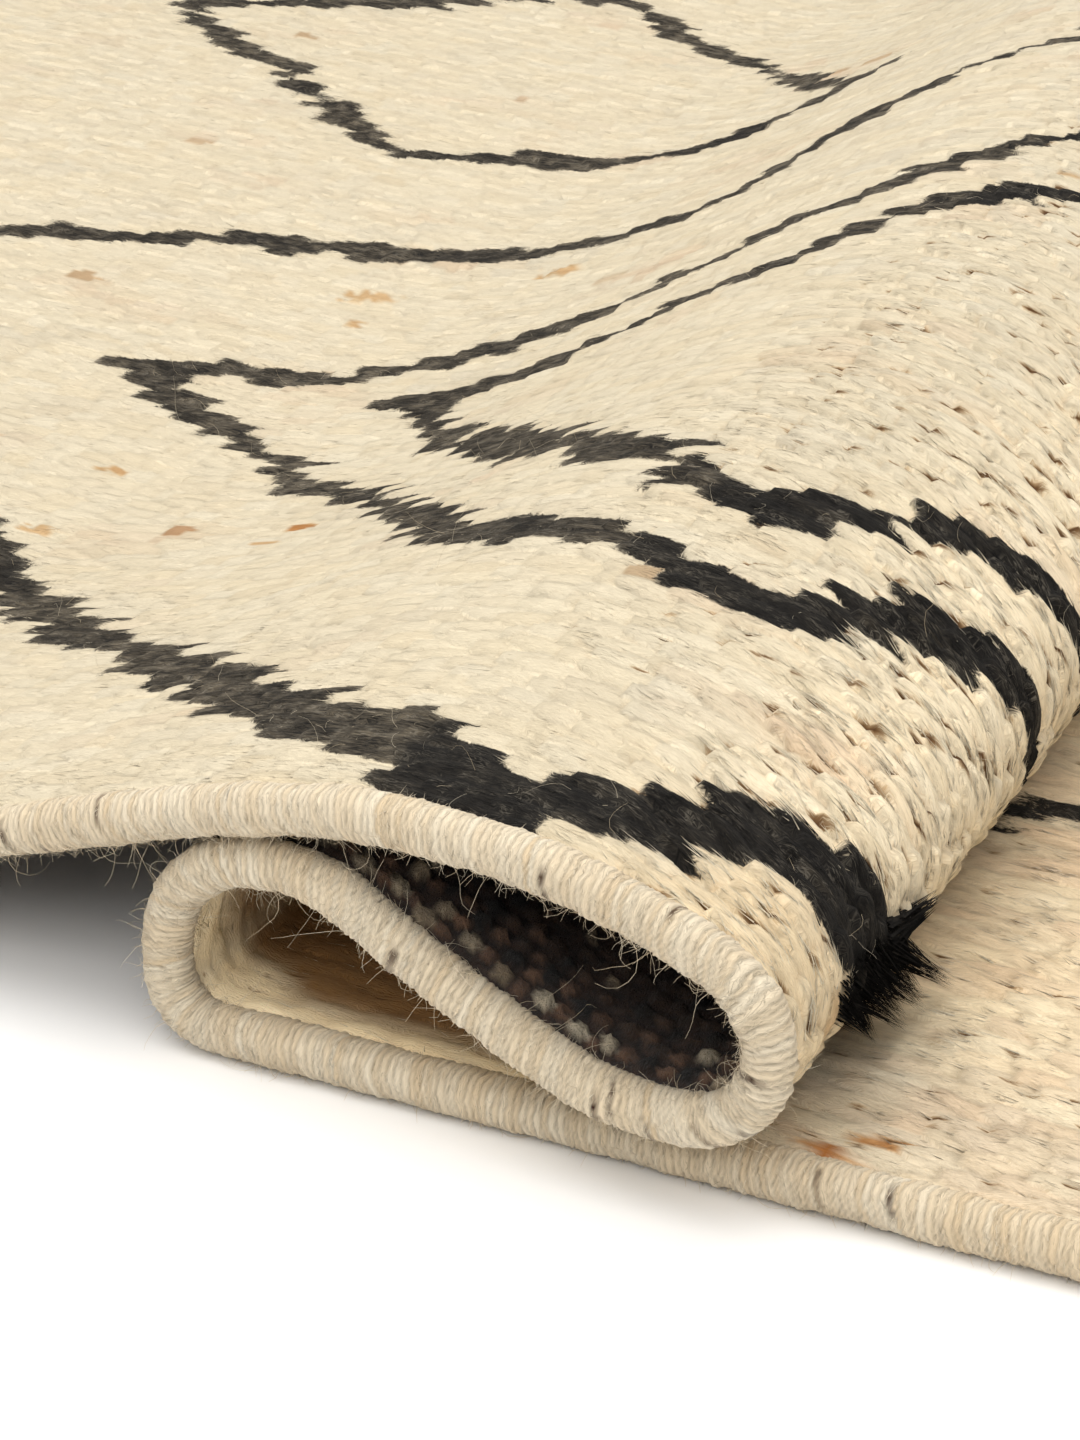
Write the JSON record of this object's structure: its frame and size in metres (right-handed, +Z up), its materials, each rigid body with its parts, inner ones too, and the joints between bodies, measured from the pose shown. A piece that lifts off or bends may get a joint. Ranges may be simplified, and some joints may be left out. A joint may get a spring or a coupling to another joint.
{
  "type": "folded length of wool pile rug",
  "caption": "Cut length of a thick hand-knotted wool rug, folded back and forth over itself, with a round overcast cord along its front edge.",
  "frame": {"origin": "on the floor, under the middle of the whole folded length's box", "axes": "+X along the selvedge, from the lower slope to the folded-over layers' open side; +Y away from the selvedge, across the rug; +Z up"},
  "size_m": [0.53, 0.5352, 0.0567],
  "materials": {
    "wool_pile": "combed ivory wool pile with charcoal lozenge lines",
    "overcast_wool": "hairy wool yarn wrapped over a thick cord"
  },
  "bodies": {
    "root": {"rug_field": "wool_pile", "selvedge_cord": "overcast_wool"}
  },
  "joints": []
}
